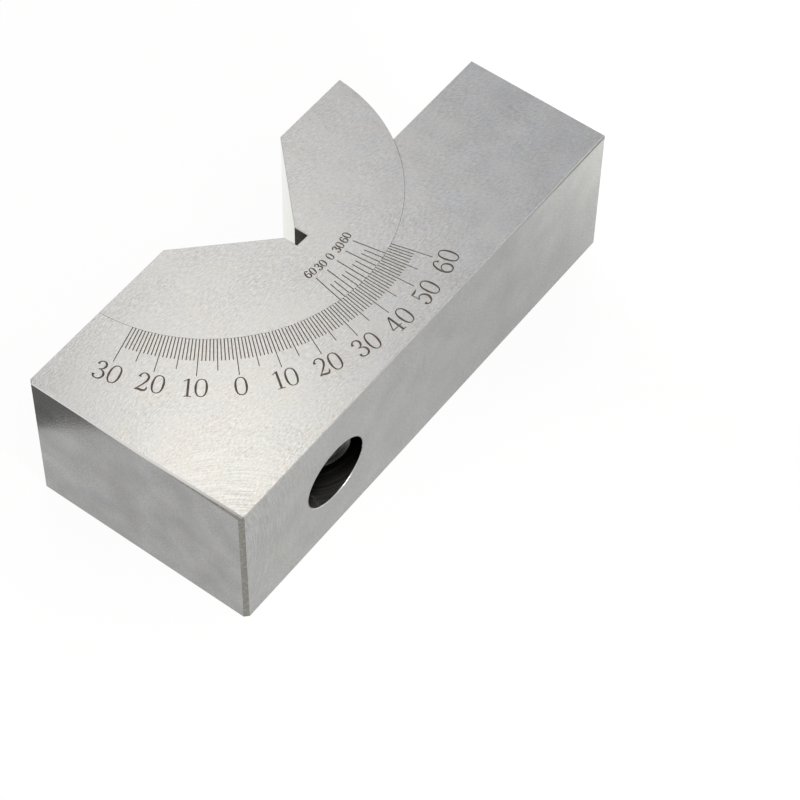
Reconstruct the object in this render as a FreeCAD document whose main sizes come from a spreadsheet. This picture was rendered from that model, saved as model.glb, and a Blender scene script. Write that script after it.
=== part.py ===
import FreeCAD, Part
import os

import Sketcher

# Adjustable angle v-block: a ground steel block with a round seat, and a disc
# segment with a 90 degree V that turns in the seat and is clamped by one screw.
# Frame: X along the block from its near end to its far end, Y from the foot
# to the V, Z out of the scale face. It lies on its back face, at Z = 0.
os.makedirs("parts", exist_ok=True)
doc = FreeCAD.newDocument("adjustable_v_block")

# Driving dimensions, in millimetres and degrees
driving = {
    # The block
    "block_length": 102.0,
    "block_thickness": 30.0,
    "tall_height": 45.0,
    "shelf_height": 29.0,
    "floor_wall": 14.0,
    "corner_break": 0.75,
    "edge_break": 0.15,
    "seam_break": 0.02,
    "stoned_break": 0.65,
    "mouth_break": 0.15,
    # The disc segment and its V
    "disc_radius": 33.0,
    "turning_clearance": 0.03,
    "vee_angle": 90.0,
    "relief_width": 2.8,
    "relief_depth": 1.4,
    "root_wall": 4.0,
    # The curved T-slot in the rim of the segment, and its nut
    "slot_lip": 4.0,
    "slot_head_depth": 5.6,
    "nut_wall": 0.9,
    "nut_flange": 2.7,
    "nut_thickness": 4.9,
    "nut_neck_recess": 0.5,
    "nut_span": 28.0,
    "nut_neck_clearance": 0.1,
    "nut_flange_clearance": 0.2,
    "nut_lip_clearance": 0.05,
    # The clamp screw and its inclined hole
    "screw_tilt": 29.5,
    "seat_wall": 10.0,
    "thread_diameter": 6.0,
    "thread_clearance": 0.03,
    "shank_clearance": 0.3,
    "head_shoulder": 2.0,
    "head_height": 6.0,
    "head_chamfer": 0.5,
    "head_clearance": 1.4,
    "key_size": 5.0,
    "socket_depth": 3.0,
    "socket_point": 1.0,
    "tip_chamfer": 0.6,
    "tip_recess": 0.95,
}
sizes = doc.addObject("Spreadsheet::Sheet", "Sizes")
for row, (name, value) in enumerate(driving.items(), start=1):
    sizes.set(f"A{row}", name.replace("_", " "))
    sizes.set(f"B{row}", str(value))
    sizes.setAlias(f"B{row}", name)
doc.recompute()

# Lengths that follow from the driving dimensions, as expressions on the sheet
HALF_LENGTH = "Sizes.block_length / 2"
HALF_THICKNESS = "Sizes.block_thickness / 2"
PIVOT_HEIGHT = "(Sizes.disc_radius + Sizes.floor_wall)"
CHORD = f"(Sizes.tall_height - {PIVOT_HEIGHT})"
SEAT_RADIUS = "(Sizes.disc_radius + Sizes.turning_clearance)"
LIP_RADIUS = "(Sizes.disc_radius - Sizes.slot_lip)"
SLOT_FLOOR = f"({LIP_RADIUS} - Sizes.slot_head_depth)"
RELIEF_FLOOR = f"({SLOT_FLOOR} - Sizes.root_wall)"
VEE_ROOT = f"({RELIEF_FLOOR} - Sizes.relief_depth)"
NECK = "(Sizes.thread_diameter / 2 + Sizes.nut_wall)"
FLANGE = f"({NECK} + Sizes.nut_flange)"
HEAD_SEAT = "(Sizes.disc_radius + Sizes.seat_wall)"
HEAD_RADIUS = "(Sizes.thread_diameter / 2 + Sizes.head_shoulder)"
COUNTERBORE = f"({HEAD_RADIUS} + Sizes.head_clearance)"
NUT_LIP_FACE = f"({LIP_RADIUS} - Sizes.nut_lip_clearance)"
NUT_INNER_FACE = f"({NUT_LIP_FACE} - Sizes.nut_thickness)"
SCREW_LENGTH = f"({HEAD_SEAT} - {NUT_INNER_FACE} - Sizes.tip_recess)"

PIVOT_Y = f"({PIVOT_HEIGHT} - Sizes.tall_height / 2)"

# How far a cutting profile runs past the face that it cuts through
OVERRUN = "1"


def new_body(name):
    body = doc.addObject("PartDesign::Body", name)
    body.Label = name
    return body


def new_sketch(body, name, role):
    """An empty sketch on one of the body's own origin planes."""
    sketch = body.newObject("Sketcher::SketchObject", name)
    plane = next(item for item in body.Origin.OriginFeatures if item.Role == role)
    sketch.AttachmentSupport = [(plane, "")]
    sketch.MapMode = "FlatFace"
    return sketch


def bind(sketch, kind, geometry, point, expression):
    """A coordinate of a sketch point, measured from the origin and bound to the sheet."""
    value = float(sketch.evalExpression(expression))
    index = sketch.addConstraint(Sketcher.Constraint(kind, geometry, point, value))
    sketch.setExpression(f"Constraints[{index}]", expression)


def draw_polygon(sketch, corners):
    """A closed outline whose corners are pairs of expressions."""
    points = [
        FreeCAD.Vector(*(float(sketch.evalExpression(part)) for part in corner), 0)
        for corner in corners
    ]
    for start, end in zip(points, points[1:] + points[:1]):
        sketch.addGeometry(Part.LineSegment(start, end), False)
    for line, (across, up) in enumerate(corners):
        before = (line - 1) % len(corners)
        sketch.addConstraint(Sketcher.Constraint("Coincident", before, 2, line, 1))
        bind(sketch, "DistanceX", line, 1, across)
        bind(sketch, "DistanceY", line, 1, up)


def draw_rectangle(sketch, left, bottom, right, top):
    draw_polygon(sketch, [(left, bottom), (right, bottom), (right, top), (left, top)])


def draw_circle(sketch, across, up, radius):
    centre = FreeCAD.Vector(*(float(sketch.evalExpression(part)) for part in (across, up)), 0)
    value = float(sketch.evalExpression(radius))
    sketch.addGeometry(Part.Circle(centre, FreeCAD.Vector(0, 0, 1), value), False)
    bind(sketch, "DistanceX", 0, 3, across)
    bind(sketch, "DistanceY", 0, 3, up)
    index = sketch.addConstraint(Sketcher.Constraint("Radius", 0, value))
    sketch.setExpression(f"Constraints[{index}]", radius)


def pad(body, name, sketch, length):
    feature = body.newObject("PartDesign::Pad", name)
    feature.Profile = sketch
    feature.setExpression("Length", length)
    return feature


def cut_through(body, name, sketch):
    """A pocket right through, in the direction that the sketch faces."""
    feature = body.newObject("PartDesign::Pocket", name)
    feature.Profile = sketch
    feature.Type = "ThroughAll"
    feature.Reversed = True
    return feature


def turn(body, kind, name, sketch, angle="360"):
    """A revolution or groove about the sketch's own vertical axis."""
    feature = body.newObject(f"PartDesign::{kind}", name)
    feature.Profile = sketch
    feature.ReferenceAxis = (sketch, ["V_Axis"])
    feature.setExpression("Angle", angle)
    return feature


def break_edges(body, name, size, wanted):
    """A chamfer on every edge of the body so far that the test picks."""
    doc.recompute()
    base = body.Tip
    names = [f"Edge{i}" for i, edge in enumerate(base.Shape.Edges, start=1) if wanted(edge)]
    feature = body.newObject("PartDesign::Chamfer", name)
    feature.Base = (base, names)
    feature.setExpression("Size", size)
    return feature


def place(body, across, along, up, turned="0; 0; 0"):
    """Moves a body into the shared frame: a position, then a yaw, pitch and roll."""
    position = f"create(<<vector>>; {across}; {along}; {up})"
    body.setExpression(
        "Placement", f"create(<<placement>>; {position}; create(<<rotation>>; {turned}))"
    )


def same(value, wanted):
    return abs(value - wanted) < 1e-4


def on_a_face(edge):
    """Whether an edge borders the scale face or the back face."""
    box = edge.BoundBox
    return same(box.ZLength, 0) and (same(box.ZMin, 0) or same(box.ZMax, sizes.block_thickness))


def is_round(edge):
    return isinstance(edge.Curve, Part.Circle)


def is_near_corner(edge):
    box = edge.BoundBox
    return same(box.XMax, -sizes.block_length / 2) and same(box.ZLength, sizes.block_thickness)


def is_hole_mouth(edge):
    box = edge.BoundBox
    on_the_foot = same(box.YMin, 0) and same(box.YLength, 0)
    return on_the_foot and not isinstance(edge.Curve, Part.Line)


def break_face_edges(body):
    """Breaks the edges round both faces: hardly at all along the seam, where the pieces meet."""
    break_edges(body, "seam_edges", "Sizes.seam_break", lambda edge: on_a_face(edge) and is_round(edge))
    break_edges(body, "face_edges", "Sizes.edge_break", lambda edge: on_a_face(edge) and not is_round(edge))


# Base block: sawn blank, milled shelf, bored seat, then the inclined hole.
# Its own origin is on the foot, under the pivot, on the back face.
base_block = new_body("base_block")

blank_outline = new_sketch(base_block, "blank_outline", "XY_Plane")
draw_rectangle(blank_outline, f"-{HALF_LENGTH}", "0", HALF_LENGTH, "Sizes.tall_height")
pad(base_block, "blank", blank_outline, "Sizes.block_thickness")

shelf_outline = new_sketch(base_block, "shelf_outline", "XY_Plane")
draw_rectangle(
    shelf_outline,
    "0",
    "Sizes.shelf_height",
    f"{HALF_LENGTH} + {OVERRUN}",
    f"Sizes.tall_height + {OVERRUN}",
)
cut_through(base_block, "shelf", shelf_outline)

seat_outline = new_sketch(base_block, "seat_outline", "XY_Plane")
draw_circle(seat_outline, "0", PIVOT_HEIGHT, SEAT_RADIUS)
cut_through(base_block, "round_seat", seat_outline)

break_edges(base_block, "near_corners", "Sizes.corner_break", is_near_corner)
break_face_edges(base_block)

# The near end's edge at the scale face is stoned by hand: broad at the foot,
# it fades to nothing at the top of the block.
stoned_foot = new_sketch(base_block, "stoned_foot", "XZ_Plane")
draw_polygon(
    stoned_foot,
    [
        (f"-{HALF_LENGTH} - {OVERRUN}", f"Sizes.block_thickness - Sizes.stoned_break - {OVERRUN}"),
        (f"-{HALF_LENGTH} + Sizes.stoned_break + {OVERRUN}", f"Sizes.block_thickness + {OVERRUN}"),
        (f"-{HALF_LENGTH} - {OVERRUN}", f"Sizes.block_thickness + {OVERRUN}"),
    ],
)
stoned_top = new_sketch(base_block, "stoned_top", "XZ_Plane")
stoned_top.setExpression("AttachmentOffset.Base.z", "-Sizes.tall_height")
draw_polygon(
    stoned_top,
    [
        (f"-{HALF_LENGTH} - {OVERRUN}", f"Sizes.block_thickness - {OVERRUN}"),
        (f"-{HALF_LENGTH} + {OVERRUN}", f"Sizes.block_thickness + {OVERRUN}"),
        (f"-{HALF_LENGTH} - {OVERRUN}", f"Sizes.block_thickness + {OVERRUN}"),
    ],
)
stoned_edge = base_block.newObject("PartDesign::SubtractiveLoft", "stoned_edge")
stoned_edge.Profile = stoned_foot
stoned_edge.Sections = [stoned_top]
stoned_edge.Ruled = True

# Half section of the counterbored screw hole, on an axis through the pivot
hole_section = new_sketch(base_block, "hole_section", "XY_Plane")
hole_section.setExpression("AttachmentOffset.Base.y", PIVOT_HEIGHT)
hole_section.setExpression("AttachmentOffset.Base.z", HALF_THICKNESS)
hole_section.setExpression("AttachmentOffset.Rotation.Angle", "-Sizes.screw_tilt")
SHANK_HOLE = "Sizes.thread_diameter / 2 + Sizes.shank_clearance"
MOUTH = f"{PIVOT_HEIGHT} / cos(Sizes.screw_tilt) + {COUNTERBORE} * tan(Sizes.screw_tilt) + {OVERRUN}"
draw_polygon(
    hole_section,
    [
        ("0", f"-{LIP_RADIUS}"),
        ("0", f"-({MOUTH})"),
        (COUNTERBORE, f"-({MOUTH})"),
        (COUNTERBORE, f"-{HEAD_SEAT}"),
        (SHANK_HOLE, f"-{HEAD_SEAT}"),
        (SHANK_HOLE, f"-{LIP_RADIUS}"),
    ],
)
turn(base_block, "Groove", "screw_hole", hole_section)
break_edges(base_block, "hole_mouth", "Sizes.mouth_break", is_hole_mouth)
place(base_block, "0", "-Sizes.tall_height / 2", "0")

# V sector: a disc cut off flush with the top of the block, with the V, its
# relief slot and the T-slot round the rim. Its own origin is on the pivot.
v_sector = new_body("v_sector")

disc_outline = new_sketch(v_sector, "disc_outline", "XY_Plane")
draw_circle(disc_outline, "0", "0", "Sizes.disc_radius")
pad(v_sector, "disc", disc_outline, "Sizes.block_thickness")

chord_outline = new_sketch(v_sector, "chord_outline", "XY_Plane")
PAST_RIM = f"Sizes.disc_radius + {OVERRUN}"
draw_rectangle(chord_outline, f"-({PAST_RIM})", CHORD, PAST_RIM, PAST_RIM)
cut_through(v_sector, "chord", chord_outline)

vee_outline = new_sketch(v_sector, "vee_outline", "XY_Plane")
VEE_TOP = f"({CHORD} + {OVERRUN})"
VEE_HALF_MOUTH = f"({VEE_ROOT} + {VEE_TOP}) * tan(Sizes.vee_angle / 2)"
draw_polygon(
    vee_outline,
    [("0", f"-{VEE_ROOT}"), (VEE_HALF_MOUTH, VEE_TOP), (f"-({VEE_HALF_MOUTH})", VEE_TOP)],
)
cut_through(v_sector, "vee", vee_outline)

relief_outline = new_sketch(v_sector, "relief_outline", "XY_Plane")
draw_rectangle(
    relief_outline,
    "-Sizes.relief_width / 2",
    f"-{RELIEF_FLOOR}",
    "Sizes.relief_width / 2",
    f"-{VEE_ROOT} + Sizes.relief_width / tan(Sizes.vee_angle / 2)",
)
cut_through(v_sector, "relief", relief_outline)

break_face_edges(v_sector)

slot_section = new_sketch(v_sector, "slot_section", "XZ_Plane")
SLOT_NECK = f"({NECK} + Sizes.nut_neck_clearance)"
SLOT_HEAD = f"({FLANGE} + Sizes.nut_flange_clearance)"
draw_polygon(
    slot_section,
    [
        (SLOT_FLOOR, f"{HALF_THICKNESS} - {SLOT_HEAD}"),
        (LIP_RADIUS, f"{HALF_THICKNESS} - {SLOT_HEAD}"),
        (LIP_RADIUS, f"{HALF_THICKNESS} - {SLOT_NECK}"),
        (PAST_RIM, f"{HALF_THICKNESS} - {SLOT_NECK}"),
        (PAST_RIM, f"{HALF_THICKNESS} + {SLOT_NECK}"),
        (LIP_RADIUS, f"{HALF_THICKNESS} + {SLOT_NECK}"),
        (LIP_RADIUS, f"{HALF_THICKNESS} + {SLOT_HEAD}"),
        (SLOT_FLOOR, f"{HALF_THICKNESS} + {SLOT_HEAD}"),
    ],
)
turn(v_sector, "Groove", "t_slot", slot_section)
place(v_sector, "0", PIVOT_Y, "0")

# Clamp screw: socket head cap screw, modelled upright on its own seat face
clamp_screw = new_body("clamp_screw")

screw_section = new_sketch(clamp_screw, "screw_section", "XZ_Plane")
THREAD_RADIUS = "Sizes.thread_diameter / 2"
draw_polygon(
    screw_section,
    [
        ("0", "Sizes.head_height"),
        ("0", f"-{SCREW_LENGTH}"),
        (f"{THREAD_RADIUS} - Sizes.tip_chamfer", f"-{SCREW_LENGTH}"),
        (THREAD_RADIUS, f"-{SCREW_LENGTH} + Sizes.tip_chamfer"),
        (THREAD_RADIUS, "0"),
        (HEAD_RADIUS, "0"),
        (HEAD_RADIUS, "Sizes.head_height - Sizes.head_chamfer"),
        (f"{HEAD_RADIUS} - Sizes.head_chamfer", "Sizes.head_height"),
    ],
)
turn(clamp_screw, "Revolution", "screw_blank", screw_section)

socket_outline = new_sketch(clamp_screw, "socket_outline", "XY_Plane")
socket_outline.setExpression("AttachmentOffset.Base.z", "Sizes.head_height")
KEY_CORNER = "Sizes.key_size / sqrt(3)"
draw_polygon(
    socket_outline,
    [(f"{KEY_CORNER} * cos({60 * side})", f"{KEY_CORNER} * sin({60 * side})") for side in range(6)],
)
socket = clamp_screw.newObject("PartDesign::Pocket", "key_socket")
socket.Profile = socket_outline
socket.setExpression("Length", "Sizes.socket_depth")

point_section = new_sketch(clamp_screw, "point_section", "XZ_Plane")
SOCKET_FLOOR = "(Sizes.head_height - Sizes.socket_depth)"
draw_polygon(
    point_section,
    [
        ("0", f"{SOCKET_FLOOR} - Sizes.socket_point"),
        ("Sizes.key_size / 2", SOCKET_FLOOR),
        ("0", SOCKET_FLOOR),
    ],
)
turn(clamp_screw, "Groove", "socket_point", point_section)
place(
    clamp_screw,
    f"-{HEAD_SEAT} * sin(Sizes.screw_tilt)",
    f"{PIVOT_Y} - {HEAD_SEAT} * cos(Sizes.screw_tilt)",
    HALF_THICKNESS,
    "-Sizes.screw_tilt; 0; 90",
)

# T-nut: a short piece of the T-slot's own section, turned about the pivot.
# Its own origin is on the pivot, at half thickness, with the screw along X.
t_nut = new_body("t_nut")

nut_section = new_sketch(t_nut, "nut_section", "XZ_Plane")
NUT_OUTER_FACE = "(Sizes.disc_radius - Sizes.nut_neck_recess)"
draw_polygon(
    nut_section,
    [
        (NUT_INNER_FACE, f"-{FLANGE}"),
        (NUT_LIP_FACE, f"-{FLANGE}"),
        (NUT_LIP_FACE, f"-{NECK}"),
        (NUT_OUTER_FACE, f"-{NECK}"),
        (NUT_OUTER_FACE, NECK),
        (NUT_LIP_FACE, NECK),
        (NUT_LIP_FACE, FLANGE),
        (NUT_INNER_FACE, FLANGE),
    ],
)
nut_blank = turn(t_nut, "Revolution", "nut_blank", nut_section, "Sizes.nut_span")
nut_blank.Midplane = True

thread_outline = new_sketch(t_nut, "thread_outline", "YZ_Plane")
draw_circle(thread_outline, "0", "0", f"{THREAD_RADIUS} + Sizes.thread_clearance")
cut_through(t_nut, "threaded_hole", thread_outline)
place(t_nut, "0", PIVOT_Y, HALF_THICKNESS, "-90 - Sizes.screw_tilt; 0; 0")

doc.recompute()

# Nothing is written unless every object computed and every piece is sound
for item in doc.Objects:
    if "Invalid" in item.State or "Error" in item.State:
        raise RuntimeError(f"{item.Name} did not compute: {item.State}")
for piece in (base_block, v_sector, clamp_screw, t_nut):
    shape = piece.Shape
    if shape.isNull() or not shape.isValid():
        raise RuntimeError(f"{piece.Label} is not a sound solid")
    print(f"{piece.Label}: {len(shape.Solids)} solid, {shape.Volume / 1000:.3f} cubic centimetres")
    shape.exportStep(f"parts/{piece.Label}.step")
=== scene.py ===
import math

import bmesh
import bpy
from mathutils import Matrix, Vector


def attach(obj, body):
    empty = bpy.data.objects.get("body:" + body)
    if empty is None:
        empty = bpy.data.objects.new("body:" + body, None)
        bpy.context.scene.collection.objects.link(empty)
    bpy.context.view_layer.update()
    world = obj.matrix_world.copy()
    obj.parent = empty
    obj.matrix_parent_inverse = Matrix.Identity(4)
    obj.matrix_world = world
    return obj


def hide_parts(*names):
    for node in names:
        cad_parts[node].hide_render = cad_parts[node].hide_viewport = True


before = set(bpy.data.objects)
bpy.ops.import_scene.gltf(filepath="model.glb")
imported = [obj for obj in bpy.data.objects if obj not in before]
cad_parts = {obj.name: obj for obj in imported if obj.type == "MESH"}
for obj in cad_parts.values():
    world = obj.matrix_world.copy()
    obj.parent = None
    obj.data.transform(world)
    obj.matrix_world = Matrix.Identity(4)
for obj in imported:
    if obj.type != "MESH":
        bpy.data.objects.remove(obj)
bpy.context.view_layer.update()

# Base block. A tool steel blank, hardened and then ground all over and in its
# round seat. The bored hole and the two broken corners keep the dark skin of the
# hardening, painted far darker in the hole as painted shade. Sizes are in
# millimetres, which MM brings to the frame's metres.
MM = 0.001
THICKNESS = 30.0
PIVOT = Vector((0.0, 24.5, THICKNESS))
SEAT_RADIUS = 33.03
SCREW_TILT = math.radians(29.5)
SCREW_LINE = Vector((-math.sin(SCREW_TILT), -math.cos(SCREW_TILT), 0))
CLAMP_CENTRE = Vector((PIVOT.x, PIVOT.y, THICKNESS / 2))
COUNTERBORE_REACH = 6.6
NEAR_BREAKS = -50.0


def feed(tree, socket, term):
    """Gives a socket a fixed value, or links another node's output to it."""
    if isinstance(term, bpy.types.NodeSocket):
        tree.links.new(term, socket)
    else:
        socket.default_value = term


def calculate(tree, operation, *terms):
    """The result of a sum with numbers; each term is fixed or another node's output."""
    node = tree.nodes.new("ShaderNodeMath")
    node.operation = operation
    for socket, term in zip(node.inputs, terms):
        feed(tree, socket, term)
    return node.outputs["Value"]


def calculate_place(tree, operation, *terms):
    """The result of a sum with places and lines; each term is fixed or another node's output."""
    node = tree.nodes.new("ShaderNodeVectorMath")
    node.operation = operation
    for socket, term in zip(node.inputs, terms):
        feed(tree, socket, term)
    gives_number = operation in ("LENGTH", "DOT_PRODUCT")
    return node.outputs["Value" if gives_number else "Vector"]


def split_place(tree, place):
    """A place's X, Y and Z, each by itself."""
    split = tree.nodes.new("ShaderNodeSeparateXYZ")
    tree.links.new(place, split.inputs["Vector"])
    return split.outputs


def spread_value(tree, value, low, high, start=0.0, end=1.0, clamp=True):
    """Runs from low to high while the value runs from start to end."""
    spread = tree.nodes.new("ShaderNodeMapRange")
    spread.clamp = clamp
    spread.inputs["From Min"].default_value = start
    spread.inputs["From Max"].default_value = end
    spread.inputs["To Min"].default_value = low
    spread.inputs["To Max"].default_value = high
    tree.links.new(value, spread.inputs["Value"])
    return spread.outputs["Result"]


def blend_colours(tree, factor, low, high):
    """Runs from one colour to the other as the factor rises from 0 to 1."""
    ramp = tree.nodes.new("ShaderNodeValToRGB")
    ramp.color_ramp.elements[0].color = (*low, 1)
    ramp.color_ramp.elements[1].color = (*high, 1)
    tree.links.new(factor, ramp.inputs["Fac"])
    return ramp.outputs["Color"]


def lay_over(tree, below, above, factor, blend="MIX"):
    """One colour laid over another, as strongly as the factor says."""
    layers = tree.nodes.new("ShaderNodeMix")
    layers.data_type = "RGBA"
    layers.blend_type = blend
    feed(tree, layers.inputs["Factor"], factor)
    feed(tree, layers.inputs["A"], below)
    feed(tree, layers.inputs["B"], above)
    return layers.outputs["Result"]


def add_noise(tree, place, scale, detail, dimensions="3D"):
    """Soft random patches over a place: the larger the scale, the finer they are."""
    noise = tree.nodes.new("ShaderNodeTexNoise")
    noise.noise_dimensions = dimensions
    noise.inputs["Scale"].default_value = scale
    noise.inputs["Detail"].default_value = detail
    tree.links.new(place, noise.inputs["W" if dimensions == "1D" else "Vector"])
    return noise.outputs


def add_relief(tree, surface, height, strength, depth):
    """Lets a height show in the shading, as relief of a depth in millimetres."""
    bump = tree.nodes.new("ShaderNodeBump")
    bump.inputs["Strength"].default_value = strength
    bump.inputs["Distance"].default_value = depth * MM
    tree.links.new(height, bump.inputs["Height"])
    tree.links.new(bump.outputs["Normal"], surface.inputs["Normal"])


def new_finish(name, metallic):
    """A new material, with its node tree and its surface still to be finished."""
    finish = bpy.data.materials.new(name)
    finish.use_nodes = True
    surface = finish.node_tree.nodes["Principled BSDF"]
    surface.inputs["Metallic"].default_value = metallic
    return finish, finish.node_tree, surface


def object_place(tree):
    """The place on the piece itself, in the frame's metres."""
    return tree.nodes.new("ShaderNodeTexCoord").outputs["Object"]


def new_effect(name, inputs, outputs):
    """An effect that more than one finish shares: its tree, what it reads and what it gives."""
    effect = bpy.data.node_groups.new(name, "ShaderNodeTree")
    for wanted in inputs:
        effect.interface.new_socket(wanted, in_out="INPUT", socket_type="NodeSocketVector")
    for given in outputs:
        effect.interface.new_socket(given, in_out="OUTPUT", socket_type="NodeSocketFloat")
    reads = effect.nodes.new("NodeGroupInput").outputs
    gives = effect.nodes.new("NodeGroupOutput").inputs
    return effect, reads, gives


def use_effect(tree, effect, **terms):
    """Sets a shared effect into a finish and returns what it gives."""
    node = tree.nodes.new("ShaderNodeGroup")
    node.node_tree = effect
    for name, term in terms.items():
        feed(tree, node.inputs[name], term)
    return node.outputs


def make_wheel_marks():
    """Families of short arcs that cross, as a cup wheel leaves them over a flat face, in fine grit."""
    effect, reads, gives = new_effect(
        "wheel_marks", ("Place",), ("Scratch", "Relief", "Cloud", "Tint")
    )
    place = reads["Place"]
    cloud = add_noise(effect, place, 0.16, 4.0, "2D")["Fac"]
    tint = add_noise(effect, place, 0.2, 2.0, "2D")["Fac"]
    grit = add_noise(effect, place, 3.2, 1.0, "2D")["Fac"]
    share = effect.nodes.new("ShaderNodeSeparateColor")
    effect.links.new(add_noise(effect, place, 0.07, 1.0, "2D")["Color"], share.inputs["Color"])
    relief = spread_value(effect, grit, -0.06, 0.06)
    # Each family has a centre for its arcs, a fineness across and along them, and its own patches.
    for centre, across_pitch, along_pitch, patch in (
        ((-70.0, 78.0, 0.0), 3.4, 5.5, "Corner"),
        ((-96.0, -78.0, 0.0), 3.8, 230.0, "Red"),
        ((-5.0, -86.0, 0.0), 3.4, 200.0, "Green"),
    ):
        away = calculate_place(effect, "SUBTRACT", place, centre)
        radius = calculate_place(effect, "LENGTH", away)
        split = split_place(effect, away)
        bearing = calculate(effect, "ARCTAN2", split["Y"], split["X"])
        track = effect.nodes.new("ShaderNodeCombineXYZ")
        across = calculate(effect, "MULTIPLY", radius, across_pitch)
        along = calculate(effect, "MULTIPLY", bearing, along_pitch)
        effect.links.new(across, track.inputs["X"])
        effect.links.new(along, track.inputs["Y"])
        streaks = add_noise(effect, track.outputs["Vector"], 1.0, 2.0, "2D")["Fac"]
        if patch == "Corner":
            depth = spread_value(effect, radius, 0.0, 1.7, start=46.0, end=22.0)
        else:
            depth = spread_value(effect, share.outputs[patch], 0.35, 1.0, start=0.36, end=0.60)
        centred = calculate(effect, "SUBTRACT", streaks, 0.5)
        relief = calculate(effect, "MULTIPLY_ADD", centred, depth, relief)
    gritty = calculate(effect, "MULTIPLY_ADD", grit, 0.42, relief)
    effect.links.new(spread_value(effect, gritty, 0.0, 1.0, start=-0.19, end=0.61), gives["Scratch"])
    effect.links.new(relief, gives["Relief"])
    effect.links.new(cloud, gives["Cloud"])
    effect.links.new(tint, gives["Tint"])
    return effect


wheel_marks = make_wheel_marks()
WARM_TINT = (1.0, 0.983, 0.935)
COOL_TINT = (0.965, 0.983, 1.0)


def make_steel(name, dark, light, smooth, rough, relief, scratch=0.7, mottle=0.7):
    """Bare steel with wheel marks, which are deeper and duller in some places than in others."""
    steel, tree, surface = new_finish(name, 1.0)
    layout = tree.nodes.new("ShaderNodeUVMap")
    layout.uv_map = "grinding"
    marks = use_effect(tree, wheel_marks, Place=layout.outputs["UV"])
    middle = 0.5 - scratch / 2
    patches = spread_value(tree, marks["Cloud"], middle - mottle / 2, middle + mottle / 2)
    tone = calculate(tree, "MULTIPLY_ADD", marks["Scratch"], scratch, patches)
    tint = blend_colours(tree, marks["Tint"], WARM_TINT, COOL_TINT)
    colour = lay_over(tree, blend_colours(tree, tone, dark, light), tint, 1.0, "MULTIPLY")
    tree.links.new(colour, surface.inputs["Base Color"])
    tree.links.new(spread_value(tree, marks["Cloud"], smooth, rough), surface.inputs["Roughness"])
    add_relief(tree, surface, marks["Relief"], relief, 0.04)
    return steel


ground_steel = make_steel(
    "ground_steel", (0.292, 0.295, 0.311), (0.414, 0.416, 0.437), 0.29, 0.37, 0.50, scratch=0.95
)
foot_steel = make_steel(
    "foot_steel", (0.307, 0.306, 0.305), (0.431, 0.430, 0.429), 0.29, 0.36, 0.40, scratch=1.0, mottle=1.1
)
# The near end: the ground steel painted darker, as painted shade; its lower roughness is its own finish.
end_steel_painted_shade = make_steel(
    "end_steel_painted_shade", (0.256, 0.255, 0.256), (0.384, 0.383, 0.384), 0.12, 0.16, 0.30, scratch=0.9, mottle=1.3
)
# The small chamfers along the edges: the ground steel painted lighter, a painted highlight.
edge_steel_painted_highlight = make_steel("edge_steel_painted_highlight", (0.40, 0.40, 0.40), (0.56, 0.56, 0.56), 0.30, 0.40, 0.20)


def brown_the_rim(steel):
    """Darkens a hair's width of the foot under its upper edge, more and more toward the far end."""
    tree = steel.node_tree
    surface = tree.nodes["Principled BSDF"]
    clean = surface.inputs["Base Color"].links[0].from_socket
    place = split_place(tree, object_place(tree))
    along = spread_value(tree, place["X"], 0.0, 1.0, start=20.0 * MM, end=46.0 * MM)
    upward = spread_value(tree, place["Z"], 0.0, 1.0, start=29.05 * MM, end=29.35 * MM)
    darkened = calculate(tree, "MULTIPLY", along, upward)
    darker_colour = lay_over(tree, clean, (0.09, 0.088, 0.083, 1), darkened)
    tree.links.new(darker_colour, surface.inputs["Base Color"])


brown_the_rim(foot_steel)


def make_skin_speckle():
    """The fine specks of a hardening skin."""
    effect, reads, gives = new_effect("skin_speckle", ("Place",), ("Speckle",))
    effect.links.new(add_noise(effect, reads["Place"], 1900.0, 3.0)["Fac"], gives["Speckle"])
    return effect


skin_speckle = make_skin_speckle()


def make_hardening_skin(name, stoned):
    """Speckled dark skin. Stoned, it is rubbed bare away from the front corner, its top side first."""
    skin, tree, surface = new_finish(name, 1.0)
    where = object_place(tree)
    speckle = use_effect(tree, skin_speckle, Place=where)["Speckle"]
    colour = blend_colours(tree, speckle, (0.09, 0.088, 0.078), (0.39, 0.38, 0.345))
    if stoned:
        place = split_place(tree, where)
        rubbed_wear_and_painted_highlight = spread_value(
            tree, place["Y"], 0.0, 1.0, start=-20.5 * MM, end=0.5 * MM, clamp=False
        )
        upward = spread_value(tree, place["Z"], -0.9, 0.45, start=29.55 * MM, end=29.75 * MM)
        bare = calculate(tree, "ADD", rubbed_wear_and_painted_highlight, upward)
        colour = lay_over(tree, colour, (0.69, 0.68, 0.66, 1), bare)
    tree.links.new(colour, surface.inputs["Base Color"])
    tree.links.new(spread_value(tree, speckle, 0.35, 0.6), surface.inputs["Roughness"])
    add_relief(tree, surface, speckle, 0.3, 0.1)
    return skin


hardening_skin = make_hardening_skin("hardening_skin", stoned=False)
stoned_skin = make_hardening_skin("stoned_skin", stoned=True)


def make_bore_rings():
    """The rings that a tool leaves round the wall of a hole, one after another along its line."""
    effect, reads, gives = new_effect("bore_rings", ("Place", "Line"), ("Rings",))
    depth = calculate_place(effect, "DOT_PRODUCT", reads["Place"], reads["Line"])
    effect.links.new(add_noise(effect, depth, 1.6, 3.0, "1D")["Fac"], gives["Rings"])
    return effect


bore_rings = make_bore_rings()


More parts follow.
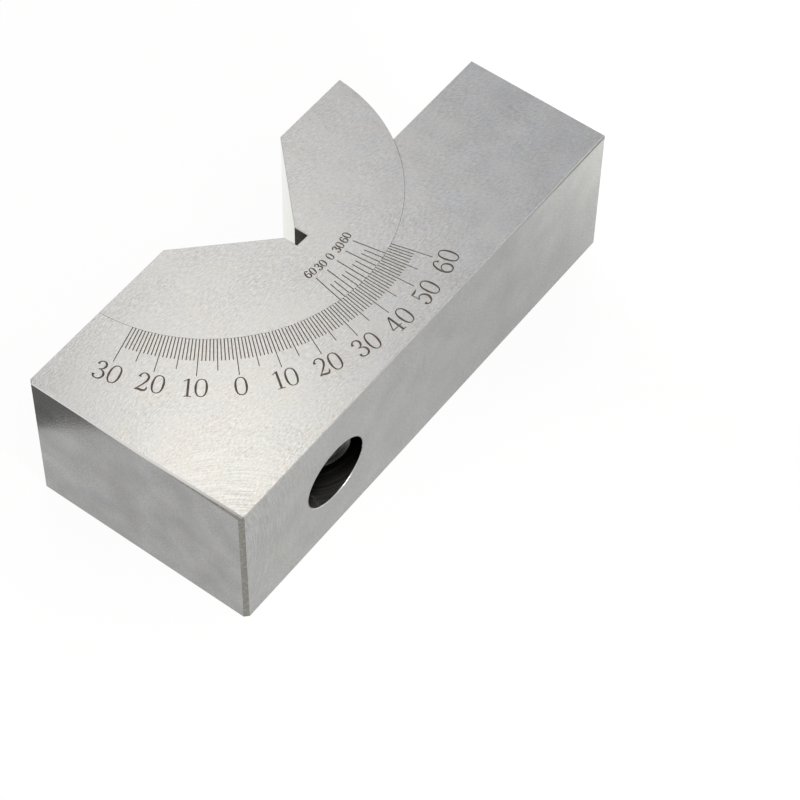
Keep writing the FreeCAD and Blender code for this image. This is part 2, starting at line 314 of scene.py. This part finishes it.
def make_bored_skin(name, line):
    """Near-black skin of a bored wall, with the rings that the tool left across its line. It is far
    darker than the same skin on the corners: painted shade of the recess.
    """
    skin, tree, surface = new_finish(name, 1.0)
    surface.inputs["Specular Tint"].default_value = (0.7, 0.7, 0.68, 1)
    rings = use_effect(tree, bore_rings, Place=object_place(tree), Line=line / MM)["Rings"]
    # Painted shade: the wall is painted far darker than the hardening skin itself, as the shade of the
    # recess.
    colour = blend_colours(tree, rings, (0.010, 0.010, 0.009), (0.036, 0.035, 0.032))
    tree.links.new(colour, surface.inputs["Base Color"])
    tree.links.new(spread_value(tree, rings, 0.22, 0.42), surface.inputs["Roughness"])
    add_relief(tree, surface, rings, 0.3, 0.2)
    return skin


counterbore_skin_painted_shade = make_bored_skin("counterbore_skin_painted_shade", SCREW_LINE)


def make_engraving_paint():
    """Dark brown paint, rubbed into the engraved lines and worn a little along them."""
    paint, tree, surface = new_finish("engraving_paint", 0.0)
    wear = add_noise(tree, object_place(tree), 900.0, 2.0)["Fac"]
    colour = blend_colours(tree, wear, (0.055, 0.042, 0.030), (0.150, 0.120, 0.090))
    tree.links.new(colour, surface.inputs["Base Color"])
    surface.inputs["Roughness"].default_value = 0.55
    return paint


engraving_paint = make_engraving_paint()


def cad_copy(node):
    """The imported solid's own mesh, merged, with each flat face made one face again."""
    bm = bmesh.new()
    bm.from_mesh(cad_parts[node].data)
    bmesh.ops.remove_doubles(bm, verts=bm.verts, dist=1e-7)
    bmesh.ops.dissolve_limit(bm, angle_limit=math.radians(0.2), verts=bm.verts, edges=bm.edges)
    bm.normal_update()
    return bm


def new_engraving(name):
    """Strokes of a pointed cutter: a stroke's section is a square on its corner at the face."""
    strokes = bpy.data.curves.new(name, "CURVE")
    strokes.dimensions = "3D"
    strokes.bevel_depth = MM
    strokes.bevel_resolution = 0
    strokes.use_fill_caps = True
    strokes.resolution_u = 5
    return strokes


def engrave_line(strokes, start, end, width):
    """A straight stroke, as wide as that at the face and half as deep."""
    line = strokes.splines.new("POLY")
    line.points.add(1)
    for point, place in zip(line.points, (start, end)):
        point.co = (*(place * MM), 1)
        point.radius = width / 2


def engrave_bow(strokes, places, widths, closed):
    """A bowed stroke through its places, wider and narrower along its way."""
    bow = strokes.splines.new("BEZIER")
    bow.bezier_points.add(len(places) - 1)
    for point, place, width in zip(bow.bezier_points, places, widths):
        point.co = place * MM
        point.radius = width / 2
        point.handle_left_type = point.handle_right_type = "AUTO"
    bow.use_cyclic_u = closed


def radial(angle, radius):
    """A point on the scale face, at a bearing and a distance from the pivot."""
    turn = math.radians(angle)
    return PIVOT + Vector((math.cos(turn), math.sin(turn), 0)) * radius


# Each numeral is 3.75 high: its width, then its strokes as across, up and the
# stroke's width there. Straight strokes have two points, bows have more.
NUMERAL_HEIGHT = 3.75
NUMERALS = {
    "0": (2.15, [[(1.08, 3.67, 0.15), (0.16, 1.88, 0.33), (1.08, 0.08, 0.15), (2.0, 1.88, 0.33)]]),
    "1": (
        1.5,
        [
            [(0.82, 0.08, 0.33), (0.82, 3.66, 0.33)],
            [(0.1, 3.1, 0.14), (0.8, 3.58, 0.2)],
            [(0.2, 0.08, 0.14), (1.46, 0.08, 0.14)],
        ],
    ),
    "2": (
        2.2,
        [
            [
                (0.42, 2.78, 0.44),
                (0.46, 3.2, 0.24),
                (1.08, 3.66, 0.16),
                (1.82, 3.2, 0.3),
                (1.86, 2.5, 0.33),
                (1.3, 1.5, 0.24),
                (0.16, 0.2, 0.15),
            ],
            [
                (0.16, 0.2, 0.16),
                (0.65, 0.33, 0.34),
                (1.3, 0.2, 0.36),
                (1.84, 0.3, 0.26),
                (2.08, 0.95, 0.14),
            ],
        ],
    ),
    "3": (
        2.2,
        [
            [
                (0.4, 2.9, 0.44),
                (0.46, 3.28, 0.24),
                (1.05, 3.66, 0.16),
                (1.7, 3.25, 0.3),
                (1.72, 2.6, 0.32),
                (1.3, 2.12, 0.18),
                (0.8, 2.0, 0.14),
            ],
            [
                (0.8, 2.0, 0.14),
                (1.5, 1.85, 0.2),
                (2.0, 1.2, 0.34),
                (1.82, 0.42, 0.3),
                (1.1, 0.09, 0.16),
                (0.42, 0.42, 0.24),
                (0.36, 0.84, 0.44),
            ],
        ],
    ),
    "4": (
        2.3,
        [
            [(1.58, 0.08, 0.33), (1.58, 3.64, 0.33)],
            [(1.52, 3.62, 0.17), (0.1, 1.14, 0.17)],
            [(0.06, 1.14, 0.15), (2.26, 1.14, 0.15)],
            [(1.0, 0.08, 0.14), (2.14, 0.08, 0.14)],
        ],
    ),
    "5": (
        2.1,
        [
            [(0.5, 3.6, 0.15), (0.4, 1.95, 0.15)],
            [(0.5, 3.52, 0.22), (1.1, 3.44, 0.28), (1.84, 3.64, 0.14)],
            [
                (0.4, 1.95, 0.14),
                (1.1, 2.36, 0.18),
                (1.88, 1.75, 0.31),
                (1.86, 0.75, 0.33),
                (1.0, 0.09, 0.16),
                (0.42, 0.4, 0.24),
                (0.36, 0.8, 0.44),
            ],
        ],
    ),
    "6": (
        2.2,
        [
            [
                (1.82, 2.95, 0.42),
                (1.72, 3.35, 0.22),
                (1.28, 3.66, 0.16),
                (0.5, 2.95, 0.29),
                (0.18, 1.7, 0.34),
                (0.42, 0.5, 0.28),
                (1.12, 0.08, 0.16),
                (1.84, 0.5, 0.29),
                (1.98, 1.3, 0.33),
                (1.6, 2.0, 0.2),
                (1.05, 2.14, 0.14),
                (0.45, 1.75, 0.15),
                (0.26, 1.3, 0.16),
            ]
        ],
    ),
}
NUMERAL_GAP = 0.42


def engrave_number(strokes, number, angle, baseline, height, weight):
    """A number centred on a bearing, its feet at the baseline radius and its top to the pivot."""
    size = height / NUMERAL_HEIGHT
    out = (radial(angle, 1) - PIVOT).normalized()
    along = Vector((-out.y, out.x, 0))
    advance = [NUMERALS[digit][0] for digit in number]
    start = -(sum(advance) + NUMERAL_GAP * (len(number) - 1)) / 2
    for digit, width in zip(number, advance):
        for stroke in NUMERALS[digit][1]:
            places = [
                PIVOT + out * (baseline - up * size) + along * (start + across) * size
                for across, up, _ in stroke
            ]
            widths = [thick * size * weight for _, _, thick in stroke]
            if len(stroke) == 2:
                engrave_line(strokes, places[0], places[1], widths[0])
            else:
                engrave_bow(strokes, places, widths, closed=digit == "0")
        start += width + NUMERAL_GAP


LAYOUT_STEP = 57.0


def grinding_layout(mesh):
    """Lays each face out flat, in millimetres, with a step between sides that face different ways."""
    layout = mesh.uv_layers.new(name="grinding")
    for face in mesh.polygons:
        facing = max(range(3), key=lambda axis: abs(face.normal[axis]))
        first, second = [axis for axis in range(3) if axis != facing]
        for corner in face.loop_indices:
            place = mesh.vertices[mesh.loops[corner].vertex_index].co / MM
            layout.data[corner].uv = (place[first], place[second] + LAYOUT_STEP * facing)


def evaluated_mesh(item):
    graph = bpy.context.evaluated_depsgraph_get()
    return bpy.data.meshes.new_from_object(item.evaluated_get(graph))


def add_piece(name, mesh, finishes):
    piece = bpy.data.objects.new(name, mesh)
    bpy.context.scene.collection.objects.link(piece)
    for finish in finishes:
        mesh.materials.append(finish)
    return piece


def cut_away(piece, cutter):
    """Cuts a solid out of a piece; the new walls keep the cutter's own finish."""
    cutting = piece.modifiers.new("cutting", "BOOLEAN")
    cutting.solver = "EXACT"
    cutting.use_self = True
    cutting.material_mode = "INDEX"
    cutting.object = cutter
    cut = evaluated_mesh(piece)
    piece.modifiers.clear()
    piece.data = cut
    bpy.data.objects.remove(cutter)


def cut_engraving(piece, strokes):
    """The walls of the strokes take the last of the piece's finishes, which is the paint."""
    finishes = list(piece.data.materials)
    path = add_piece("cutter_path", strokes, [])
    cutter = add_piece("cutter", evaluated_mesh(path), finishes)
    paint = len(finishes) - 1
    cutter.data.polygons.foreach_set("material_index", [paint] * len(cutter.data.polygons))
    bpy.data.objects.remove(path)
    cut_away(piece, cutter)


GROUND_FINISHES = 3


def settle(piece):
    """Rounds the shading over curved walls. Ground faces, which have the first finishes, stay flat."""
    piece.data.shade_smooth()
    piece.data.set_sharp_from_angle(angle=math.radians(20))
    for face in piece.data.polygons:
        squarely = max(abs(side) for side in face.normal) > 0.9999
        if squarely and face.material_index < GROUND_FINISHES:
            face.use_smooth = False
    grinding_layout(piece.data)


# The scale is cut in the block beside the seat: a line for each degree from
# 30 on the near side to 60 on the far side, with longer fives and tens.
ZERO_BEARING = 225
DEGREE_LINE_REACH = 37.5
FIVE_LINE_REACH = 39.5
TEN_LINE_REACH = 40.7
NUMERAL_FEET = 44.9
scale = new_engraving("scale")
for reading in range(-30, 61):
    bearing = ZERO_BEARING + reading
    engrave_line(scale, radial(bearing, SEAT_RADIUS - 0.02), radial(bearing, DEGREE_LINE_REACH), 0.19)
    if reading % 5 == 0:
        reach = TEN_LINE_REACH if reading % 10 == 0 else FIVE_LINE_REACH
        engrave_line(scale, radial(bearing, DEGREE_LINE_REACH - 0.1), radial(bearing, reach), 0.16)
    if reading % 10 == 0:
        engrave_number(scale, str(abs(reading)), bearing, NUMERAL_FEET, NUMERAL_HEIGHT, 1.25)

# Where a face of the block lies, and which way it faces, decides its finish.
block_shape = cad_copy("base_block")
NEAR_END, FOOT, EDGES, SKIN, STONED, BORED = range(1, 7)
for face in block_shape.faces:
    place = face.calc_center_median() / MM
    offset = place - CLAMP_CENTRE
    off_line = (offset - SCREW_LINE * offset.dot(SCREW_LINE)).length
    along_line = abs(face.normal.dot(SCREW_LINE))
    if off_line < COUNTERBORE_REACH and (along_line < 0.05 or along_line > 0.99):
        face.material_index = BORED
    elif face.normal.x < -0.999:
        face.material_index = NEAR_END
    elif face.normal.y < -0.999:
        face.material_index = FOOT
    elif place.x < NEAR_BREAKS and abs(abs(face.normal.y) - abs(face.normal.x)) < 0.05:
        face.material_index = SKIN
    elif place.x < NEAR_BREAKS and face.normal.x < -0.3 and face.normal.z > 0.3:
        face.material_index = STONED
    elif 0.3 < abs(face.normal.z) < 0.95 and abs(offset.to_2d().length - SEAT_RADIUS) > 0.5:
        face.material_index = EDGES
block_mesh = bpy.data.meshes.new("ground_block")
block_shape.to_mesh(block_mesh)
block_shape.free()
ground_block = add_piece(
    "ground_block",
    block_mesh,
    [
        ground_steel,
        end_steel_painted_shade,
        foot_steel,
        edge_steel_painted_highlight,
        hardening_skin,
        stoned_skin,
        counterbore_skin_painted_shade,
        engraving_paint,
    ],
)
cut_engraving(ground_block, scale)
settle(ground_block)
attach(ground_block, "base")
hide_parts("base_block")


# V sector. A disc of the same steel, ground to turn in the seat and cut off
# flush with the block. Its V is ground after hardening and painted near white, a painted
# reflection. The relief slot at the root of the V and the T-slot round the rim stay dark, with painted
# shade in them.
VERNIER_STEP = 11 / 6
VERNIER_LINE_START = 29.4
VERNIER_LONG_LINE_START = 26.8
VERNIER_FEET = 26.15
VERNIER_NUMERAL_HEIGHT = 1.6
SLOT_LOW, SLOT_HIGH = 8.0, 22.0
SLOT_FLOOR_REACH = 29.2
RELIEF_HALF_WIDTH = 1.42
RELIEF_TOP = -16.0
vernier = new_engraving("vernier")
for step in range(-6, 7):
    bearing = ZERO_BEARING + 45 + step * VERNIER_STEP
    numbered = step % 3 == 0
    start = VERNIER_LONG_LINE_START if numbered else VERNIER_LINE_START
    engrave_line(vernier, radial(bearing, start), radial(bearing, SEAT_RADIUS), 0.2)
    if numbered:
        minutes = str(abs(step) * 10)
        engrave_number(vernier, minutes, bearing, VERNIER_FEET, VERNIER_NUMERAL_HEIGHT, 2.3)

# The V's flanks: the ground steel painted near white and a little yellow, a painted reflection.
vee_steel_painted_reflection = make_steel("vee_steel_painted_reflection", (0.83, 0.83, 0.79), (0.92, 0.92, 0.875), 0.10, 0.16, 0.10)
# The slots' walls: dark skin, painted darker still as painted shade.
slot_skin_painted_shade = make_bored_skin("slot_skin_painted_shade", Vector((0, 0, 1)))
sector_shape = cad_copy("v_sector")
VEE, EDGES, SLOT = range(1, 4)
for face in sector_shape.faces:
    place = face.calc_center_median() / MM
    offset = Vector((place.x - PIVOT.x, place.y - PIVOT.y, 0))
    facing_pivot = abs(face.normal.dot(offset.normalized())) > 0.95
    in_slot_height = SLOT_LOW < place.z < SLOT_HIGH
    in_relief = (
        abs(place.x) < RELIEF_HALF_WIDTH and offset.y < RELIEF_TOP and abs(face.normal.z) < 0.5
    )
    slot_side = in_slot_height and abs(face.normal.z) > 0.9
    slot_floor = (
        in_slot_height
        and facing_pivot
        and offset.length < SLOT_FLOOR_REACH
        and abs(place.x) > RELIEF_HALF_WIDTH
    )
    if abs(abs(face.normal.x) - math.sqrt(0.5)) < 0.001 and face.calc_area() > 100 * MM * MM:
        face.material_index = VEE
    elif in_relief or slot_side or slot_floor:
        face.material_index = SLOT
    elif 0.3 < abs(face.normal.z) < 0.95 and offset.length < SEAT_RADIUS - 0.5:
        face.material_index = EDGES
sector_mesh = bpy.data.meshes.new("ground_sector")
sector_shape.to_mesh(sector_mesh)
sector_shape.free()
ground_sector = add_piece(
    "ground_sector", sector_mesh, [ground_steel, vee_steel_painted_reflection, edge_steel_painted_highlight, slot_skin_painted_shade, engraving_paint]
)
cut_engraving(ground_sector, vernier)
settle(ground_sector)
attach(ground_sector, "sector")
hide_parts("v_sector")


# T-nut. A piece of plain steel, turned and milled to the section of the T-slot,
# bored and tapped for the screw, and slid into the slot from its open end.
def make_nut_steel():
    """Milled steel, left as it came from the cutter."""
    steel, tree, surface = new_finish("nut_steel", 1.0)
    grain = add_noise(tree, object_place(tree), 700.0, 2.0)["Fac"]
    colour = blend_colours(tree, grain, (0.18, 0.18, 0.175), (0.32, 0.32, 0.31))
    tree.links.new(colour, surface.inputs["Base Color"])
    tree.links.new(spread_value(tree, grain, 0.3, 0.5), surface.inputs["Roughness"])
    return steel


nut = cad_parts["t_nut"]
nut.data.materials.clear()
nut.data.materials.append(make_nut_steel())


# Clamp screw. A socket head cap screw, 6 mm, black oxide with a painted highlight at
# the rim: a knurled head with a hexagon socket, and a rolled thread that runs into the T-nut.
SEAT = CLAMP_CENTRE + SCREW_LINE * 43.0
HEAD_RADIUS = 5.0
HEAD_HEIGHT = 6.0
HEAD_ROUNDING = 0.45
KNURLS = 48
KNURL_DEPTH = 0.16
SOCKET_ACROSS_FLATS = 5.0
SOCKET_CORNER = SOCKET_ACROSS_FLATS / math.sqrt(3)
SOCKET_DEPTH = 3.0
SHANK_LENGTH = 18.0
TIP_LENGTH = 0.5
TIP_TAPER = 0.4
THREAD_CREST = 3.0
THREAD_ROOT = 2.45
THREAD_PITCH = 1.0
THREAD_START = 0.2
THREAD_TURNS = SHANK_LENGTH - 2.2
STEPS_A_TURN = 32


def make_black_oxide():
    """Black oxide on steel, painted lighter toward the rim of the head as a painted highlight."""
    oxide, tree, surface = new_finish("black_oxide_and_painted_highlight", 0.85)
    where = object_place(tree)
    grain = add_noise(tree, where, 1100.0, 3.0)["Fac"]
    reach = calculate_place(tree, "SUBTRACT", where, SEAT * MM)
    off_axis = calculate_place(
        tree, "LENGTH", calculate_place(tree, "CROSS_PRODUCT", reach, SCREW_LINE)
    )
    # Painted highlight: the rim of the head is painted lighter.
    rubbed_wear_and_painted_highlight = spread_value(
        tree, off_axis, 0.0, 1.0, start=(HEAD_RADIUS - 1.3) * MM, end=(HEAD_RADIUS - 0.2) * MM
    )
    black = blend_colours(tree, grain, (0.04, 0.04, 0.042), (0.09, 0.089, 0.088))
    colour = lay_over(tree, black, (0.19, 0.188, 0.18, 1), rubbed_wear_and_painted_highlight)
    tree.links.new(colour, surface.inputs["Base Color"])
    tree.links.new(spread_value(tree, grain, 0.28, 0.45), surface.inputs["Roughness"])
    return oxide


oxide = make_black_oxide()

head = bmesh.new()
ring = bmesh.ops.create_circle(head, cap_ends=True, radius=HEAD_RADIUS, segments=KNURLS * 2)
for index, corner in enumerate(ring["verts"]):
    if index % 2:
        corner.co *= (HEAD_RADIUS - KNURL_DEPTH) / HEAD_RADIUS
raised = bmesh.ops.extrude_face_region(head, geom=head.faces[:])
crown = [item for item in raised["geom"] if isinstance(item, bmesh.types.BMVert)]
bmesh.ops.translate(head, verts=crown, vec=(0, 0, HEAD_HEIGHT))
bmesh.ops.recalc_face_normals(head, faces=head.faces)
rim = [
    edge
    for edge in head.edges
    if len(edge.link_faces) == 2 and all(corner.co.z > HEAD_HEIGHT - 0.01 for corner in edge.verts)
]
bmesh.ops.bevel(
    head,
    geom=rim,
    offset=HEAD_ROUNDING,
    affect="EDGES",
    segments=3,
    profile=0.5,
    material=-1,
    clamp_overlap=True,
)
head_mesh = bpy.data.meshes.new("screw_head")
head.to_mesh(head_mesh)
head.free()
screw_head = add_piece("screw_head", head_mesh, [oxide])

# The socket is cut with a hexagon, the drill's point under it and a countersink at its mouth.
socket = bmesh.new()
socket_floor = HEAD_HEIGHT - SOCKET_DEPTH
for low_radius, high_radius, low, high, sides in (
    (SOCKET_CORNER, SOCKET_CORNER, socket_floor, HEAD_HEIGHT + 1.0, 6),
    (0.2, SOCKET_CORNER, socket_floor - 1.0, socket_floor, 6),
    (SOCKET_ACROSS_FLATS / 2, SOCKET_CORNER + 0.35, HEAD_HEIGHT - 0.45, HEAD_HEIGHT + 0.25, 48),
):
    bit = bmesh.ops.create_cone(
        socket, cap_ends=True, segments=sides, radius1=low_radius, radius2=high_radius, depth=high - low
    )
    bmesh.ops.translate(socket, verts=bit["verts"], vec=(0, 0, (low + high) / 2))
socket_mesh = bpy.data.meshes.new("socket")
socket.to_mesh(socket_mesh)
socket.free()
cut_away(screw_head, add_piece("socket_cutter", socket_mesh, [oxide]))

shank = bmesh.new()
core = bmesh.ops.create_cone(
    shank,
    cap_ends=True,
    segments=48,
    radius1=THREAD_ROOT - TIP_TAPER,
    radius2=THREAD_ROOT,
    depth=TIP_LENGTH,
)
bmesh.ops.translate(shank, verts=core["verts"], vec=(0, 0, TIP_LENGTH / 2 - SHANK_LENGTH))
tip = [face for face in shank.faces if face.normal.z > 0.9]
run = bmesh.ops.extrude_discrete_faces(shank, faces=tip)
run_end = list({corner for face in run["faces"] for corner in face.verts})
bmesh.ops.translate(shank, verts=run_end, vec=(0, 0, SHANK_LENGTH))
profile = [
    shank.verts.new((radius, 0, height - SHANK_LENGTH + THREAD_START))
    for radius, height in (
        (THREAD_ROOT - 0.05, 0.0),
        (THREAD_CREST, THREAD_PITCH * 0.42),
        (THREAD_CREST, THREAD_PITCH * 0.54),
        (THREAD_ROOT - 0.05, THREAD_PITCH * 0.96),
    )
]
ridge = [shank.edges.new(pair) for pair in zip(profile, profile[1:])]
bmesh.ops.spin(
    shank,
    geom=profile + ridge,
    cent=(0, 0, 0),
    axis=(0, 0, 1),
    dvec=(0, 0, THREAD_PITCH / STEPS_A_TURN),
    angle=math.tau * THREAD_TURNS,
    steps=round(STEPS_A_TURN * THREAD_TURNS),
    use_merge=False,
)
bmesh.ops.recalc_face_normals(shank, faces=shank.faces)
shank_mesh = bpy.data.meshes.new("screw_shank")
shank.to_mesh(shank_mesh)
shank.free()
screw_shank = add_piece("screw_shank", shank_mesh, [oxide])

lie = SCREW_LINE.to_track_quat("Z", "Y").to_matrix().to_4x4()
for piece in (screw_head, screw_shank):
    piece.data.transform(lie)
    for corner in piece.data.vertices:
        corner.co = (corner.co + SEAT) * MM
    piece.data.shade_smooth()
    piece.data.set_sharp_from_angle(angle=math.radians(28))
    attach(piece, "screw")
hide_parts("clamp_screw")


# Table. A plain white sheet that runs out of sight, level with the back face. The
# camera sees it nearly shadowless, and the steel mirrors it a little darker than the
# room. Sizes from here on are in metres.
TABLE_SIZE = 6.0
TABLE_DROP = 0.00002
sheet = bmesh.new()
bmesh.ops.create_grid(sheet, x_segments=1, y_segments=1, size=TABLE_SIZE / 2)
bmesh.ops.translate(sheet, verts=sheet.verts, vec=(0, 0, -TABLE_DROP))
table_mesh = bpy.data.meshes.new("table")
sheet.to_mesh(table_mesh)
sheet.free()


def make_white_paper():
    """White paper, which glows where the camera or a mirror sees it."""
    white, tree, paper = new_finish("white_table", 0.0)
    paper.inputs["Base Color"].default_value = (0.9, 0.9, 0.9, 1)
    paper.inputs["Roughness"].default_value = 0.9
    paper.inputs["Specular IOR Level"].default_value = 0.1
    seen = tree.nodes.new("ShaderNodeLightPath").outputs
    mirrored = calculate(tree, "MAXIMUM", seen["Is Glossy Ray"], seen["Is Transmission Ray"])
    mirror_share = calculate(tree, "MULTIPLY", mirrored, 0.63)
    glow_share = calculate(tree, "MULTIPLY_ADD", seen["Is Camera Ray"], 0.9, mirror_share)
    blank = tree.nodes.new("ShaderNodeEmission")
    blank.inputs["Strength"].default_value = 1.0
    whitened = tree.nodes.new("ShaderNodeMixShader")
    tree.links.new(glow_share, whitened.inputs["Fac"])
    tree.links.new(paper.outputs["BSDF"], whitened.inputs[1])
    tree.links.new(blank.outputs["Emission"], whitened.inputs[2])
    tree.links.new(whitened.outputs["Shader"], tree.nodes["Material Output"].inputs["Surface"])
    return white


table = add_piece("table", table_mesh, [make_white_paper()])


# Dark card. It lies on the sheet beside the block and is hidden from the camera: only
# the ground steel mirrors it, as a dark patch low in the near end.
CARD_LENGTH = 0.07
CARD_WIDTH = 0.05
card_shape = bmesh.new()
bmesh.ops.create_grid(card_shape, x_segments=1, y_segments=1, size=0.5)
bmesh.ops.scale(card_shape, verts=card_shape.verts, vec=(CARD_LENGTH, CARD_WIDTH, 1))
bmesh.ops.translate(card_shape, verts=card_shape.verts, vec=(0.022, CARD_WIDTH / 2, 0.0002))
card_turn = Matrix.Rotation(math.atan2(0.79, 0.61), 3, "Z")
bmesh.ops.rotate(card_shape, verts=card_shape.verts, cent=(0, 0, 0), matrix=card_turn)
bmesh.ops.translate(card_shape, verts=card_shape.verts, vec=(-0.0646, 0.02435, 0.0))
card_mesh = bpy.data.meshes.new("dark_card")
card_shape.to_mesh(card_mesh)
card_shape.free()
card_black, _, card_surface = new_finish("card_black", 0.0)
card_surface.inputs["Base Color"].default_value = (0.25, 0.25, 0.25, 1)
card_surface.inputs["Specular IOR Level"].default_value = 0.0
card = add_piece("dark_card", card_mesh, [card_black])
card.visible_camera = card.visible_diffuse = card.visible_shadow = False


# Studio. An even white room, and four small soft lamps round the block: each lamp's
# place, what it aims at, its size, power and colour, and how wide it spreads.
room = bpy.data.worlds.new("room")
bpy.context.scene.world = room
room.use_nodes = True
room_tree = room.node_tree
glow = room_tree.nodes["Background"]
glow.inputs["Color"].default_value = (1, 1, 1, 1)
room_seen = room_tree.nodes.new("ShaderNodeLightPath").outputs
room_shown = calculate(room_tree, "ADD", room_seen["Is Camera Ray"], room_seen["Is Glossy Ray"])
room_also = calculate(room_tree, "MAXIMUM", room_shown, room_seen["Is Transmission Ray"])
room_tree.links.new(spread_value(room_tree, room_also, 0.95, 1.0), glow.inputs["Strength"])


def hang_lamp(name, place, aim, size, power, colour, spread=180.0):
    light = bpy.data.lights.new(name, "AREA")
    light.shape = "RECTANGLE"
    light.size, light.size_y = size
    light.energy = power
    light.color = colour
    light.spread = math.radians(spread)
    lamp = bpy.data.objects.new(name, light)
    bpy.context.scene.collection.objects.link(lamp)
    lamp.location = place
    lamp.rotation_euler = (Vector(aim) - Vector(place)).to_track_quat("-Z", "Y").to_euler()
    lamp.visible_camera = False


for lamp in (
    ("near", (0.005, 0.031, 0.15), (-0.0545, -0.0235, 0.03), (0.04, 0.04), 0.0150, (1, 0.934, 0.763)),
    ("back", (0.155, 0.166, 0.33), (-0.017, 0.012, 0.03), (0.10, 0.08), 0.073, (1, 0.938, 0.801)),
    ("side", (0.26, -0.20, 0.22), (0.168, -0.062, -0.05), (0.05, 0.05), 1.22, (1, 1, 0.93), 42.5),
    ("front", (-0.09, -0.30, 0.30), (-0.046, -0.062, 0.0), (0.05, 0.05), 0.024, (1, 1, 0.95), 26.0),
):
    hang_lamp(*lamp)


# Camera: a long lens, above the near end and the foot.
lens = bpy.data.cameras.new("camera")
lens.lens = 128.685
lens.sensor_width = 36.0
camera = bpy.data.objects.new("camera", lens)
bpy.context.scene.collection.objects.link(camera)
camera.location = (-0.23942, -0.188809, 0.409256)
camera.rotation_euler = (math.radians(35.8787), math.radians(-0.7715), math.radians(-53.1437))
bpy.context.scene.camera = camera
bpy.context.scene.view_settings.view_transform = "Standard"
